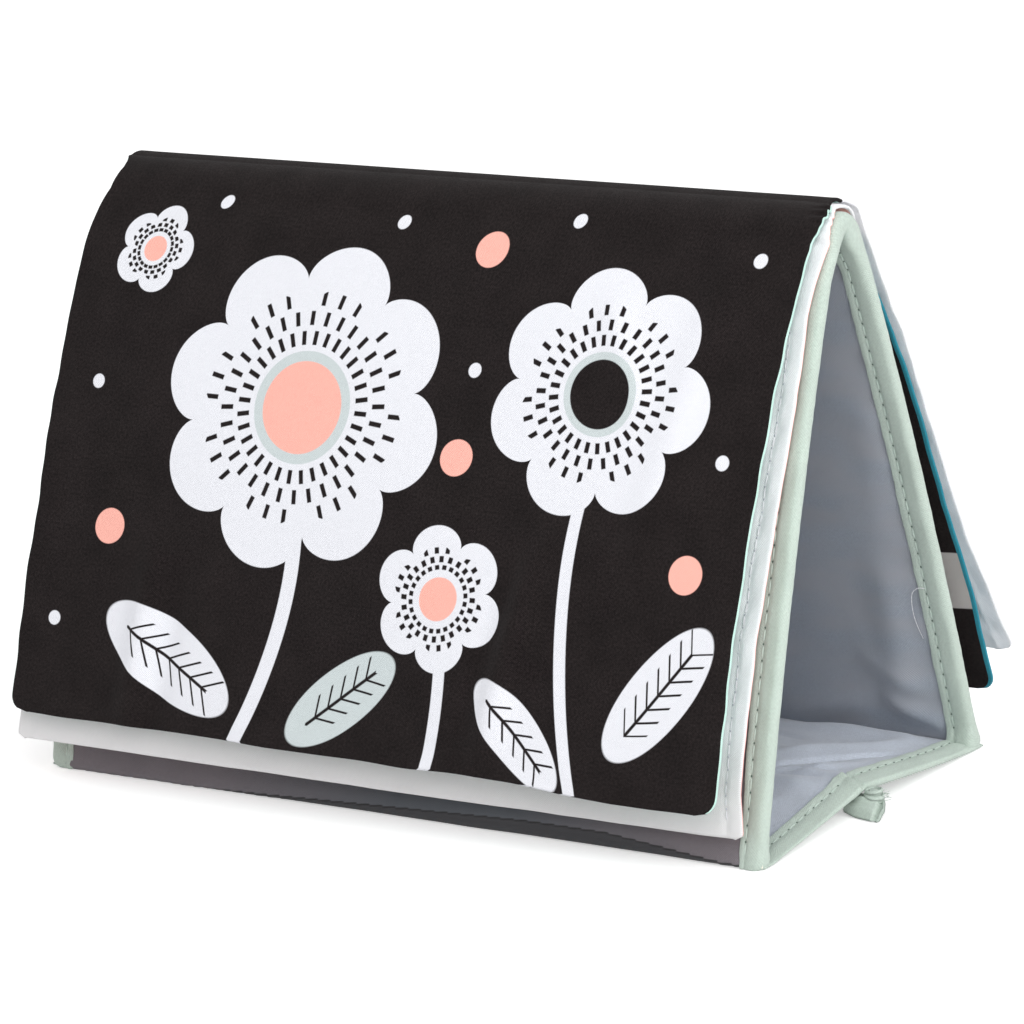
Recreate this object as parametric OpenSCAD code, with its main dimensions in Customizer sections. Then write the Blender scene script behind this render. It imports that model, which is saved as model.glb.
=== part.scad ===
// Cloth book that stands as a tent: two padded covers on a soft ridge, a base that creases upward,
// a cloth binding round each end, and four leaves that hang from the ridge, two over each cover.
// X runs along the ridge, the front cover faces -Y, and Z is up from the floor.

/* [Covers] */
// Width of the covers along the ridge
cover_w = 250; // [160:1:320]
// Height of the covers' ridge above the floor
ridge_h = 173; // [140:1:220]
// Distance from the middle of the tent to the foot of each cover
foot_y = 62; // [50:1:80]
// Outer radius of the soft ridge
ridge_r = 8.5; // [7:0.5:14]
// Outward bow of each cover half way down
cover_bow = 2.8; // [0:0.2:5]
// Thickness of the outer cloth
cloth_t = 0.6; // [0.4:0.1:1]
// Thickness of the foam sheet that stiffens each cover
foam_t = 1.8; // [1.2:0.1:3]
// Thickness of the inner lining
lining_t = 0.5; // [0.3:0.1:0.8]
// Gap between the two covers along the ridge
ridge_gap = 0.3; // [0.2:0.1:1]

/* [Binding] */
// Width of the binding from the end of a panel to its hem
binding_w = 8.5; // [6:0.5:12]
// Thickness of the folded binding cloth
binding_t = 0.6; // [0.4:0.1:1]

/* [Base] */
// Height of the upward crease above the feet
crease_h = 6; // [4:0.5:10]
// Thickness of the wadding in the base
wadding_t = 1.2; // [0.8:0.1:2]
// Width of the seam between the two halves of the wadding
crease_w = 3; // [2:0.5:6]
// Clearance between the base and the back cover
base_gap = 0.3; // [0.2:0.1:0.6]

/* [Leaves] */
// Width of a leaf along the ridge
leaf_w = 250; // [160:1:320]
// Length of a leaf from the ridge to its free edge
leaf_len = 180; // [130:1:210]
// Thickness of a leaf
leaf_t = 1.6; // [1:0.1:2.5]
// Radius of a leaf's lower corners
leaf_corner_r = 5; // [2:0.5:10]
// Distance that the leaves have slipped along the ridge
leaf_shift = -4.5; // [-8:0.5:8]
// Gap between the innermost leaf and the binding below it
leaf_gap = 0.3; // [0.2:0.1:1]
// Distance that the front leaf's free edge stands off the cover
front_lift = 15.5; // [8:0.5:20]
// Distance that the second leaf's free edge flares off the cover
second_flare = 5.5; // [2:0.5:8]
// Distance that the third leaf stands off the back cover
third_lift = 12; // [8:0.5:16]
// Distance that the last leaf stands off the back cover at its upper part
last_lift = 11; // [8:0.5:16]
// Further distance that the last leaf flares out at its free edge
last_flare = 18; // [8:0.5:24]

/* [Tie] */
// Width of the ribbon
ribbon_w = 9; // [6:0.5:12]
// Thickness of the folded ribbon
ribbon_t = 1.2; // [0.8:0.1:2]
// Radius of the knot
knot_r = 2.4; // [2:0.1:2.6]
// Length of the tail beyond the knot
tail_len = 11; // [6:0.5:16]
// Gap between the knot and the end of the base
tie_gap = 0.3; // [0.2:0.1:1]

/* [Hidden] */

grey = "#6b666b";
pale_grey = "#a5acb9";
mint = "#c8dccf";
white = "#ededed";
black = "#292423";
foam = "#f4f1e6";

arc_steps = 8;
panel_steps = 12;
leaf_steps = 18;

// The outer face of a cover is a round ridge about the hinge line, and a panel that leaves it at a tangent
hinge_z = ridge_h - ridge_r;
half_gap = ridge_gap / 2;
foot_reach = foot_y - half_gap;
lean = atan(foot_reach / hinge_z) - asin(ridge_r / norm([foot_reach, hinge_z]));
out = [cos(lean), sin(lean)];
down = [sin(lean), -cos(lean)];
panel_top = [0, hinge_z] + ridge_r * out;
panel_len = panel_top.y / cos(lean);
panel_t = cloth_t + foam_t + lining_t;
foot_lean = lean - atan(4 * cover_bow / panel_len);
half_w = cover_w / 2;

function ray(a) = [cos(a), sin(a)];
function panel_point(q) = panel_top + down * q * panel_len + out * 4 * cover_bow * q * (1 - q);
function panel_normal(q) =
    let (n = out * panel_len - down * 4 * cover_bow * (1 - 2 * q)) n / norm(n);

// Points and normals down a cover, which stop at a height above the floor with a level end
function cover_line(stop_z) = [
    for (i = [0 : arc_steps - 1])
        let (n = ray(90 - (90 - lean) * i / arc_steps)) [[0, hinge_z] + ridge_r * n, n],
    for (i = [0 : panel_steps - 1])
        let (q = i / panel_steps) [panel_point(q), panel_normal(q)],
    [[foot_reach - stop_z * tan(foot_lean), stop_z], [1 / cos(foot_lean), 0]]
];
function offset_line(line, d) = [for (s = line) s[0] + s[1] * d];
function reversed(v) = [for (i = [len(v) - 1 : -1 : 0]) v[i]];

module layer(outer, inner, stop_z = 0) {
    line = cover_line(stop_z);
    polygon(concat(offset_line(line, outer), reversed(offset_line(line, inner))));
}

module along_x(from, to) {
    translate([from, 0, 0]) rotate([90, 0, 90]) linear_extrude(to - from) children();
}

module back_side() {
    translate([0, half_gap, 0]) children();
}

module front_side() {
    mirror([0, 1, 0]) back_side() children();
}

// The three layers of one cover

panel_end = half_w - binding_t;
foam_in = cloth_t + foam_t;

module cover_cloth() {
    outer = offset_line(cover_line(0), 0);
    under = offset_line(cover_line(cloth_t), -cloth_t);
    turn = [
        offset_line(cover_line(0), -foam_in)[len(outer) - 1],
        offset_line(cover_line(cloth_t), -foam_in)[len(outer) - 1]
    ];
    along_x(-panel_end, panel_end) polygon(concat(outer, turn, reversed(under)));
}

module cover_foam() {
    along_x(-panel_end, panel_end) layer(-cloth_t, -foam_in, cloth_t);
}

module cover_lining() {
    along_x(-panel_end, panel_end) layer(-foam_in, -panel_t);
}

// A binding folded round the end of a cover, drawn for the right end
module cover_binding() {
    difference() {
        along_x(half_w - binding_w, half_w) layer(binding_t, -panel_t - binding_t);
        along_x(half_w - binding_w - 1, panel_end) layer(0, -panel_t);
    }
}

// The base spans the feet, and its level layers all rise to the same crease

base_t = cloth_t + wadding_t + lining_t;
inner_foot = foot_reach - (panel_t + binding_t) / cos(foot_lean);

function base_end(z, gap) = inner_foot + half_gap - z * tan(foot_lean) - gap;

module base_layer(low, high) {
    polygon([
        [-base_end(low, 0), low], [0, low + crease_h], [base_end(low, base_gap), low],
        [base_end(high, base_gap), high], [0, high + crease_h], [-base_end(high, 0), high]
    ]);
}

base_low = binding_t;
wadding_low = base_low + cloth_t;
wadding_high = wadding_low + wadding_t;
base_high = base_low + base_t;

module base_cloth_sheet() {
    along_x(-panel_end, panel_end) base_layer(base_low, wadding_low);
}

module base_wadding_halves() {
    difference() {
        along_x(-panel_end, panel_end) base_layer(wadding_low, wadding_high);
        translate([-half_w, -crease_w / 2, 0]) cube([cover_w, crease_w, 2 * crease_h + base_high]);
    }
}

module base_lining_sheet() {
    along_x(-panel_end, panel_end) base_layer(wadding_high, base_high);
}

module base_binding() {
    difference() {
        along_x(half_w - binding_w, half_w) base_layer(0, base_high + binding_t);
        along_x(half_w - binding_w - 1, panel_end) base_layer(base_low, base_high);
    }
}

// A leaf is [offset at the ridge, offset where the panel starts, lift, flare, bow], measured to its outer face

leaf_root = binding_t + leaf_gap + leaf_t;
leaf_step = leaf_t / 2;
leaf_front = [leaf_root + leaf_step, leaf_root + 3, front_lift, 0, 0];
leaf_second = [leaf_root, leaf_root + 0.2, 0, second_flare, cover_bow];
leaf_third = [leaf_root, leaf_root + 2, third_lift, 3, 0];
leaf_last = [leaf_root + leaf_step, leaf_root + 5.5, last_lift, last_flare, 0];

function stand_off(leaf, q) =
    leaf[1] + leaf[2] * (1 - pow(1 - q, 3)) + leaf[3] * q * q + leaf[4] * 4 * q * (1 - q);
function leaf_point(leaf, q, depth) = panel_top + down * q * panel_len + out * (stand_off(leaf, q) - depth);

// The share of the panel at which a leaf of the given length ends, found by steps down from the ridge
function leaf_stop(leaf, q, run) =
    let (step = 0.02, d = norm(leaf_point(leaf, q + step, 0) - leaf_point(leaf, q, 0)))
    run + d >= leaf_len ? q + step * (leaf_len - run) / d : leaf_stop(leaf, q + step, run + d);
function ridge_run(leaf) = (ridge_r + (leaf[0] + leaf[1]) / 2) * (90 - lean) * PI / 180;

function leaf_line(leaf, depth) =
    let (stop = leaf_stop(leaf, 0, ridge_run(leaf))) [
        for (i = [0 : arc_steps - 1])
            [0, hinge_z] + (ridge_r + leaf[0] + (leaf[1] - leaf[0]) * i / arc_steps - depth)
                * ray(90 - (90 - lean) * i / arc_steps),
        for (i = [0 : leaf_steps]) leaf_point(leaf, stop * i / leaf_steps, depth)
    ];

function leaf_tip(leaf) = let (line = leaf_line(leaf, 0)) line[len(line) - 1];
function leaf_floor(leaf) = let (line = leaf_line(leaf, leaf_t)) line[len(line) - 1].y;

// The flat outline of a leaf seen from the front, with round lower corners
module leaf_outline(low) {
    left = -leaf_w / 2 + leaf_shift;
    tall = 2 * ridge_h;
    translate([left, low + leaf_corner_r]) square([leaf_w, tall]);
    translate([left + leaf_corner_r, low]) square([leaf_w - 2 * leaf_corner_r, tall]);
    for (x = [left + leaf_corner_r, left + leaf_w - leaf_corner_r])
        translate([x, low + leaf_corner_r]) circle(leaf_corner_r, $fn = 48);
}

module leaf(spec) {
    intersection() {
        along_x(-leaf_w, leaf_w) polygon(concat(leaf_line(spec, 0), reversed(leaf_line(spec, leaf_t))));
        translate([0, 3 * foot_y, 0]) rotate([90, 0, 0]) linear_extrude(4 * foot_y)
            leaf_outline(leaf_floor(spec));
    }
}

// The knotted ribbon under the crease at the right end, with one folded tail on the floor

knot_x = half_w + knot_r + tie_gap;
knot_z = crease_h - knot_r / 2;
tail_turn = -35;

module ribbon_knot() {
    translate([knot_x, 0, knot_z]) {
        sphere(knot_r, $fn = 32);
        rotate([0, 0, tail_turn]) rotate([90, 0, 0]) linear_extrude(ribbon_t, center = true)
            polygon([
                [0, -knot_r / 2], [0, knot_r / 2], [tail_len, ribbon_w / 2 - knot_z],
                [tail_len, -knot_z], [tail_len / 2, -knot_z]
            ]);
    }
}

// The origin lies under the middle of the whole book, leaves and tie included

tail_out = (tail_len * cos(tail_turn) + ribbon_t / 2 * sin(-tail_turn));
right_reach = knot_x + tail_out;
left_reach = leaf_w / 2 - leaf_shift;
front_reach = half_gap + leaf_tip(leaf_front).x;
back_reach = half_gap + leaf_tip(leaf_last).x;

module placed() {
    translate([(left_reach - right_reach) / 2, (front_reach - back_reach) / 2, 0]) children();
}

module front_cloth() {
    color(grey) placed() front_side() cover_cloth();
}

module front_foam() {
    color(foam) placed() front_side() cover_foam();
}

module front_lining() {
    color(pale_grey) placed() front_side() cover_lining();
}

module front_binding_left() {
    color(mint) placed() front_side() mirror([1, 0, 0]) cover_binding();
}

module front_binding_right() {
    color(mint) placed() front_side() cover_binding();
}

module front_pages() {
    placed() front_side() {
        color(black) leaf(leaf_front);
        color(white) leaf(leaf_second);
    }
}

module base_cloth() {
    color(grey) placed() base_cloth_sheet();
}

module base_wadding() {
    color(white) placed() base_wadding_halves();
}

module base_lining() {
    color(pale_grey) placed() base_lining_sheet();
}

module base_binding_left() {
    color(mint) placed() mirror([1, 0, 0]) base_binding();
}

module base_binding_right() {
    color(mint) placed() base_binding();
}

module ribbon_tie() {
    color(mint) placed() ribbon_knot();
}

module back_cloth() {
    color(grey) placed() back_side() cover_cloth();
}

module back_foam() {
    color(foam) placed() back_side() cover_foam();
}

module back_lining() {
    color(pale_grey) placed() back_side() cover_lining();
}

module back_binding_left() {
    color(mint) placed() back_side() mirror([1, 0, 0]) cover_binding();
}

module back_binding_right() {
    color(mint) placed() back_side() cover_binding();
}

module back_pages() {
    placed() back_side() {
        color(black) leaf(leaf_third);
        color(white) leaf(leaf_last);
    }
}

front_cloth();
front_foam();
front_lining();
front_binding_left();
front_binding_right();
front_pages();
base_cloth();
base_wadding();
base_lining();
base_binding_left();
base_binding_right();
ribbon_tie();
back_cloth();
back_foam();
back_lining();
back_binding_left();
back_binding_right();
back_pages();
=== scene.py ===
"""Looks of a cloth book that stands as a tent: woven cloth, bound edges, stitches, leaves and a tie."""
import math

import bpy
import numpy as np
from mathutils import Matrix, Vector


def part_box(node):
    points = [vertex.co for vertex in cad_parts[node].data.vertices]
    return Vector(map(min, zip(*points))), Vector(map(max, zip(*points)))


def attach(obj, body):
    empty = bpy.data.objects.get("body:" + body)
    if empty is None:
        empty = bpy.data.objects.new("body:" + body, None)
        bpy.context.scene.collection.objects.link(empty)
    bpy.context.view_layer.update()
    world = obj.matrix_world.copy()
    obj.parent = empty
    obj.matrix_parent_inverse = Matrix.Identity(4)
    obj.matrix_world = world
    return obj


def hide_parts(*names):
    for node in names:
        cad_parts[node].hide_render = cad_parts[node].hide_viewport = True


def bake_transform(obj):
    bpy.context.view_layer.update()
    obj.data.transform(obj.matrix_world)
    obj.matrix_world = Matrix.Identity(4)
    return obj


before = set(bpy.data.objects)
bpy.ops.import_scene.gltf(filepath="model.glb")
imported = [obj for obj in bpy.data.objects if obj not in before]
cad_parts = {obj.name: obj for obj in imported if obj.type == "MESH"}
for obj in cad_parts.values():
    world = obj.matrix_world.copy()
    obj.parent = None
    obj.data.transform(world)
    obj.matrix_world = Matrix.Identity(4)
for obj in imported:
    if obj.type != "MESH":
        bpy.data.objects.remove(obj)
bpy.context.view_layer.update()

# Sizes. The shapes below are worked out in millimetres about the middle of the tent, and place() moves them
# into the frame: x runs along the ridge, y across it, and z up from the floor.

MM = 0.001
FRONT, BACK = "front_cover", "back_cover"


def box_mm(node):
    return [[c / MM for c in corner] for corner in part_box(node)]


end_left = box_mm("front_binding_left")[0][0]
end_right = box_mm("front_binding_right")[1][0]
front_foot = box_mm("front_cloth")[0][1]
back_foot = box_mm("back_cloth")[1][1]
MID_X = (end_left + end_right) / 2
MID_Y = (front_foot + back_foot) / 2
HALF_W = (end_right - end_left) / 2
FOOT_Y = (back_foot - front_foot) / 2
RIDGE_H = box_mm("front_cloth")[1][2]
BINDING_W = end_right - box_mm("front_binding_right")[0][0]
LEAF_LEFT = box_mm("front_pages")[0][0] - MID_X
LEAF_RIGHT = box_mm("front_pages")[1][0] - MID_X
LEAF_W = LEAF_RIGHT - LEAF_LEFT

COVER_BOW = 2.8
RIDGE_R = 8.5
CLOTH_T = 0.6
FOAM_T = 1.8
LINING_T = 0.5
BINDING_T = 0.6
PANEL_T = CLOTH_T + FOAM_T + LINING_T
WADDING_T = 1.2
CREASE_H = 6.0
LEAF_LEN = 180.0
LEAF_T = 1.6
LEAF_CORNER_R = 5.0

# A leaf is [offset at the ridge, offset where the panel starts, lift, flare, bow], to its outer face
LEAF_ROOT = 2.5
LEAF_STEP = 0.8
LEAF_FRONT = [LEAF_ROOT + LEAF_STEP, LEAF_ROOT + 3, 15.5, 0, 0]
LEAF_SECOND = [LEAF_ROOT, LEAF_ROOT + 0.2, 0, 5.5, COVER_BOW]
LEAF_THIRD = [LEAF_ROOT, LEAF_ROOT + 2, 12, 3, 0]
LEAF_LAST = [LEAF_ROOT + LEAF_STEP, LEAF_ROOT + 5.5, 11, 18, 0]

STITCH_PITCH = 4.6
STITCH_IN = 2.4

# The cloth's left end stands a little past the stiffener, and each leaf has its own length
END_X = {-1: -HALF_W - 3.2, 1: HALF_W}
INSIDE_BINDING = 4.5
SHEET_LEFT = END_X[-1] + INSIDE_BINDING
SHEET_RIGHT = END_X[1] - INSIDE_BINDING
SHEET_W = SHEET_RIGHT - SHEET_LEFT
FRONT_LEN = LEAF_LEN - 0.7
SECOND_LEN = LEAF_LEN + 1.2
THIRD_LEN = LEAF_LEN + 3.5
LAST_LEN = LEAF_LEN + 4.0

HINGE_Z = RIDGE_H - RIDGE_R
LEAN = math.atan(FOOT_Y / HINGE_Z) - math.asin(RIDGE_R / math.hypot(FOOT_Y, HINGE_Z))
OUT = np.array([math.cos(LEAN), math.sin(LEAN)])
DOWN = np.array([math.sin(LEAN), -math.cos(LEAN)])
PANEL_TOP = np.array([0, HINGE_Z]) + RIDGE_R * OUT
PANEL_LEN = PANEL_TOP[1] / math.cos(LEAN)


# The camera, at the photograph's angle

CAMERA_AZIMUTH = math.radians(34.95)
CAMERA_HEIGHT = math.radians(14.59)
CAMERA_ROLL = math.radians(-3.73)
CAMERA_FAR = 1.6004
CAMERA_CLIP = 50
CAMERA_TARGET = (4.96, 0.0, 76.41)
SENSOR_MM = 36.0
FOCAL_PIXELS = 5424.95
FRAME_PIXELS = 1024


def place(points):
    """Points in millimetres about the middle of the tent, moved into the frame in metres."""
    return (np.asarray(points, float) + [MID_X, MID_Y, 0]) * MM


def add_object(name, data):
    made = bpy.data.objects.new(name, data)
    bpy.context.scene.collection.objects.link(made)
    return made


def direction(azimuth, height):
    """The way towards something seen at an azimuth round from the front and a height, both in radians."""
    level = math.cos(height)
    return Vector((math.sin(azimuth) * level, -math.cos(azimuth) * level, math.sin(height)))


def make_camera():
    back = direction(CAMERA_AZIMUTH, CAMERA_HEIGHT)
    level = Vector((math.cos(CAMERA_AZIMUTH), math.sin(CAMERA_AZIMUTH), 0))
    upright = back.cross(level)
    right = level * math.cos(CAMERA_ROLL) + upright * math.sin(CAMERA_ROLL)
    up = upright * math.cos(CAMERA_ROLL) - level * math.sin(CAMERA_ROLL)
    data = bpy.data.cameras.new("camera")
    data.sensor_width = SENSOR_MM
    data.lens = SENSOR_MM * FOCAL_PIXELS / FRAME_PIXELS
    data.clip_end = CAMERA_CLIP
    camera = add_object("camera", data)
    turn = Matrix((right, up, back)).transposed().to_4x4()
    camera.matrix_world = Matrix.Translation(Vector(place(CAMERA_TARGET)) + back * CAMERA_FAR) @ turn
    bpy.context.scene.camera = camera


make_camera()


# Lines in the Y-Z plane, read by the distance along them


def unit(ways):
    return ways / np.linalg.norm(ways, axis=-1, keepdims=True)


def run_along(points):
    """Distance along a line at each of its points."""
    return np.concatenate([[0], np.cumsum(np.linalg.norm(np.diff(points, axis=0), axis=1))])


class Line:
    """A line in the Y-Z plane through many points. Its normal points to the left of its way."""

    def __init__(self, points):
        apart = np.diff(run_along(points), prepend=-1) > 1e-6
        self.points = np.asarray(points, float)[apart]
        self.run = run_along(self.points)
        slope = unit(np.gradient(self.points, self.run, axis=0))
        self.normals = np.stack([-slope[:, 1], slope[:, 0]], 1)
        self.length = self.run[-1]

    def at(self, s, offset=0.0):
        y = np.interp(s, self.run, self.points[:, 0]) + np.interp(s, self.run, self.normals[:, 0]) * offset
        z = np.interp(s, self.run, self.points[:, 1]) + np.interp(s, self.run, self.normals[:, 1]) * offset
        return y, z


def ray(angle):
    return np.array([math.cos(angle), math.sin(angle)])


def ridge_arc(offset_top, offset_side, steps=24):
    """Points round the ridge from its top to where a panel starts, on the back side."""
    points = []
    for i in range(steps):
        share = i / steps
        angle = math.pi / 2 - (math.pi / 2 - LEAN) * share
        reach = RIDGE_R + offset_top + (offset_side - offset_top) * share
        points.append([0, HINGE_Z] + reach * ray(angle))
    return points


def panel_line(steps=120):
    """Points down the outer face of the back cover, from the ridge's top to the foot."""
    points = ridge_arc(0, 0)
    for i in range(steps + 1):
        q = i / steps
        points.append(PANEL_TOP + DOWN * q * PANEL_LEN + OUT * 4 * COVER_BOW * q * (1 - q))
    return np.array(points)


def leaf_line(leaf, length):
    """Points down the outer face of a leaf on the back side, as long as the leaf is."""
    top, side, lift, flare, bow = leaf
    points = ridge_arc(top, side)
    for i in range(300):
        q = i / 200
        stand = side + lift * (1 - max(1 - q, 0) ** 3) + flare * q * q + bow * 4 * q * (1 - q)
        points.append(PANEL_TOP + DOWN * q * PANEL_LEN + OUT * stand)
    points = np.array(points)
    run = run_along(points)
    end = [np.interp(length, run, points[:, 0]), np.interp(length, run, points[:, 1])]
    return np.vstack([points[run < length], [end]])


def over_ridge(front, back):
    """One line from the front's lower end over the ridge to the back's. Both are given on the back side."""
    front = front[::-1] * [-1, 1]
    return Line(np.vstack([front[:-1], back]))


# Shapes in cloth: waves, folds and puckers, as heights in millimetres over a flat sheet


def smooth(x, low, high):
    t = np.clip((x - low) / (high - low), 0, 1)
    return t * t * (3 - 2 * t)


def hump(x, centre, width):
    return np.exp(-(((x - centre) / width) ** 2))


WAVE_PEAK = 1.5


def waves(u, v, seed, shortest, longest, count=12):
    """Smooth irregular waves, mostly between -1 and 1, the same on each run."""
    rng = np.random.default_rng(seed)
    total = np.zeros(np.broadcast(u, v).shape)
    for _ in range(count):
        length = rng.uniform(shortest, longest)
        turn = rng.uniform(0, 2 * math.pi)
        phase = rng.uniform(0, 2 * math.pi)
        total = total + np.sin(2 * math.pi * (u * math.cos(turn) + v * math.sin(turn)) / length + phase)
    return total / math.sqrt(count) / WAVE_PEAK


def ripple(s, seed, shortest, longest):
    """Waves along one direction only."""
    return waves(s, 0 * s, seed, shortest, longest)


def fold(u, v, start, end, width, height):
    """A soft fold along a straight line, which fades out at both ends."""
    along = np.subtract(end, start)
    length = math.hypot(*along)
    t = ((u - start[0]) * along[0] + (v - start[1]) * along[1]) / length ** 2
    across = ((v - start[1]) * along[0] - (u - start[0]) * along[1]) / length
    fade = smooth(t, -0.2, 0.2) * (1 - smooth(t, 0.8, 1.2))
    return height * np.exp(-((across / width) ** 2)) * fade


def folds(u, v, table):
    """Soft folds together, each given as (start, end, width, height)."""
    return sum(fold(u, v, *row) for row in table)


def ticks(*stretches):
    """Positions over stretches of (start, end, step), one after another."""
    parts = [np.linspace(a, b, max(1, round((b - a) / step)), endpoint=False) for a, b, step in stretches]
    return np.concatenate(parts + [[stretches[-1][1]]])


# Meshes


def make_mesh(name, points, faces, uv, materials, indices=None):
    """A smooth mesh from points in millimetres, with a map of the flat cloth in millimetres."""
    mesh = bpy.data.meshes.new(name)
    mesh.from_pydata(place(points).tolist(), [], [list(map(int, f)) for f in faces])
    layer = mesh.uv_layers.new(name="cloth")
    corners = np.zeros(len(mesh.loops), int)
    mesh.loops.foreach_get("vertex_index", corners)
    layer.data.foreach_set("uv", np.asarray(uv, np.float32)[corners].ravel())
    mesh.polygons.foreach_set("use_smooth", np.ones(len(mesh.polygons), bool))
    for material in materials:
        mesh.materials.append(material)
    if indices is not None:
        mesh.polygons.foreach_set("material_index", np.asarray(indices, np.int32))
    mesh.validate()
    mesh.update()
    return add_object(name, mesh)


def grid_faces(rows, columns, first=0, flip=False):
    i, j = np.meshgrid(np.arange(rows - 1), np.arange(columns - 1), indexing="ij")
    a = first + i * columns + j
    quads = np.stack([a, a + 1, a + columns + 1, a + columns], -1).reshape(-1, 4)
    return quads[:, ::-1] if flip else quads


def border(rows, columns):
    """Indices round the edge of a grid, in one loop."""
    top = np.arange(columns)
    right = np.arange(1, rows) * columns + columns - 1
    bottom = (rows - 1) * columns + np.arange(columns - 2, -1, -1)
    left = np.arange(rows - 2, 0, -1) * columns
    return np.concatenate([top, right, bottom, left])


def inward(rows, columns):
    """For each place in border(), the index of a point a little further in."""
    i, j = np.divmod(border(rows, columns), columns)
    return np.clip(i, 1, rows - 2) * columns + np.clip(j, 1, columns - 2)


RIM_STEPS = 5


def plain_pick(rows, columns, part, step=0):
    return np.zeros_like(rows)


def two_ply(name, outer, inner, uv, materials, pick=plain_pick, rim_bulge=0.5):
    """A closed sheet from the grids of its outer and inner faces, with a round edge between them.

    pick(rows, columns, part, step) gives the materials of faces. part is outer, inner or rim, and step
    counts the rim's strips from the outer face to the inner one.
    """
    rows, columns = outer.shape[:2]
    count = rows * columns
    flat_outer, flat_inner, flat_uv = outer.reshape(-1, 3), inner.reshape(-1, 3), uv.reshape(-1, 2)
    loop = border(rows, columns)
    edge_outer, edge_inner = flat_outer[loop], flat_inner[loop]
    middle = (edge_outer + edge_inner) / 2
    inside = inward(rows, columns)
    away = middle - (flat_outer[inside] + flat_inner[inside]) / 2
    across = edge_outer - edge_inner
    away -= across * (np.sum(away * across, axis=1) / np.sum(across * across, axis=1))[:, None]
    away = unit(away)
    half = np.linalg.norm(across, axis=1)[:, None] * rim_bulge
    points, maps = [flat_outer, flat_inner], [flat_uv, flat_uv]
    for k in range(1, RIM_STEPS):
        angle = math.pi * k / RIM_STEPS
        points.append(middle + (edge_outer - middle) * math.cos(angle) + away * half * math.sin(angle))
        maps.append(flat_uv[loop] + 0.3 * k)
    n = len(loop)
    rings = [loop] + [2 * count + k * n + np.arange(n) for k in range(RIM_STEPS - 1)] + [loop + count]
    faces = [grid_faces(rows, columns), grid_faces(rows, columns, count, flip=True)]
    face_rows = np.repeat(np.arange(rows - 1), columns - 1)
    face_columns = np.tile(np.arange(columns - 1), rows - 1)
    indices = [pick(face_rows, face_columns, part) for part in ("outer", "inner")]
    for k, (low, high) in enumerate(zip(rings[:-1], rings[1:])):
        faces.append(np.stack([low, high, np.roll(high, -1), np.roll(low, -1)], 1))
        indices.append(pick(loop // columns, loop % columns, "rim", k))
    return make_mesh(name, np.vstack(points), np.vstack(faces), np.vstack(maps), materials,
                     np.concatenate(indices))


def sheet_grid(line, xs, ss, height, thickness, corners=(0, 0), drift=None):
    """Grids of the outer face, inner face and flat map of a sheet that follows a line.

    height and thickness are functions of x and s, corners the radii at the line's start and end, and drift
    gives small moves of x and s within the sheet.
    """
    x, s = np.meshgrid(xs, ss)
    middle, half = (xs[0] + xs[-1]) / 2, (xs[-1] - xs[0]) / 2
    inset = np.zeros_like(s)
    for radius, far in zip(corners, (s - ss[0], ss[-1] - s)):
        if radius:
            near = np.clip(radius - far, 0, radius)
            inset += radius - np.sqrt(radius ** 2 - near ** 2)
    x = middle + (x - middle) * (half - inset) / half
    uv = np.stack([x, s], -1)
    dx, ds = drift(x, s) if drift else (0, 0)
    lift = height(x, s)
    thick = thickness(x, s)
    y_out, z_out = line.at(s + ds, lift)
    y_in, z_in = line.at(s + ds, lift - thick)
    outer = np.stack([x + dx, y_out, z_out], -1)
    inner = np.stack([x + dx, y_in, z_in], -1)
    return outer, inner, uv


def ring_faces(rings, sides, closed=False):
    """Faces between rings of points. closed joins the last ring to the first."""
    i, k = np.meshgrid(np.arange(rings if closed else rings - 1), np.arange(sides), indexing="ij")
    ring, after = (i + 1) % rings, (k + 1) % sides
    corners = [i * sides + k, i * sides + after, ring * sides + after, ring * sides + k]
    return np.stack(corners, -1).reshape(-1, 4).tolist()


def tube_rings(points, radii, sides):
    """Rings of points round a path, with faces that close both ends."""
    points = np.asarray(points, float)
    way = unit(np.gradient(points, axis=0))
    up = np.array([0.1, 0.2, 1.0]) if abs(way[0][2]) < 0.9 else np.array([1.0, 0.2, 0.1])
    across = unit(np.cross(way, up))
    other = np.cross(way, across)
    angle = 2 * math.pi * np.arange(sides) / sides
    ways = across[:, None] * np.cos(angle)[:, None] + other[:, None] * np.sin(angle)[:, None]
    rings = points[:, None] + np.asarray(radii)[:, None, None] * ways
    run = np.arange(len(points))[:, None] * np.linalg.norm(points[1] - points[0])
    maps = np.stack([np.tile(run, (1, sides)), np.tile(angle * radii[0], (len(points), 1))], -1)
    last = (len(points) - 1) * sides
    ends = [list(range(sides))[::-1], [last + k for k in range(sides)]]
    return rings.reshape(-1, 3), maps.reshape(-1, 2), ring_faces(len(points), sides) + ends


def join_parts(name, parts, materials):
    """One mesh from several (points, maps, faces, material index)."""
    points, maps, faces, indices, first = [], [], [], [], 0
    for part_points, part_maps, part_faces, index in parts:
        points.append(part_points)
        maps.append(part_maps)
        faces += [[first + k for k in face] for face in part_faces]
        indices += [index] * len(part_faces)
        first += len(part_points)
    return make_mesh(name, np.vstack(points), faces, np.vstack(maps), materials, indices)


STITCH_RISE = 0.16
STITCH_DIP = 0.42
HOLE_RADIUS = 0.288
HOLE_LENGTH = 0.68


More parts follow.
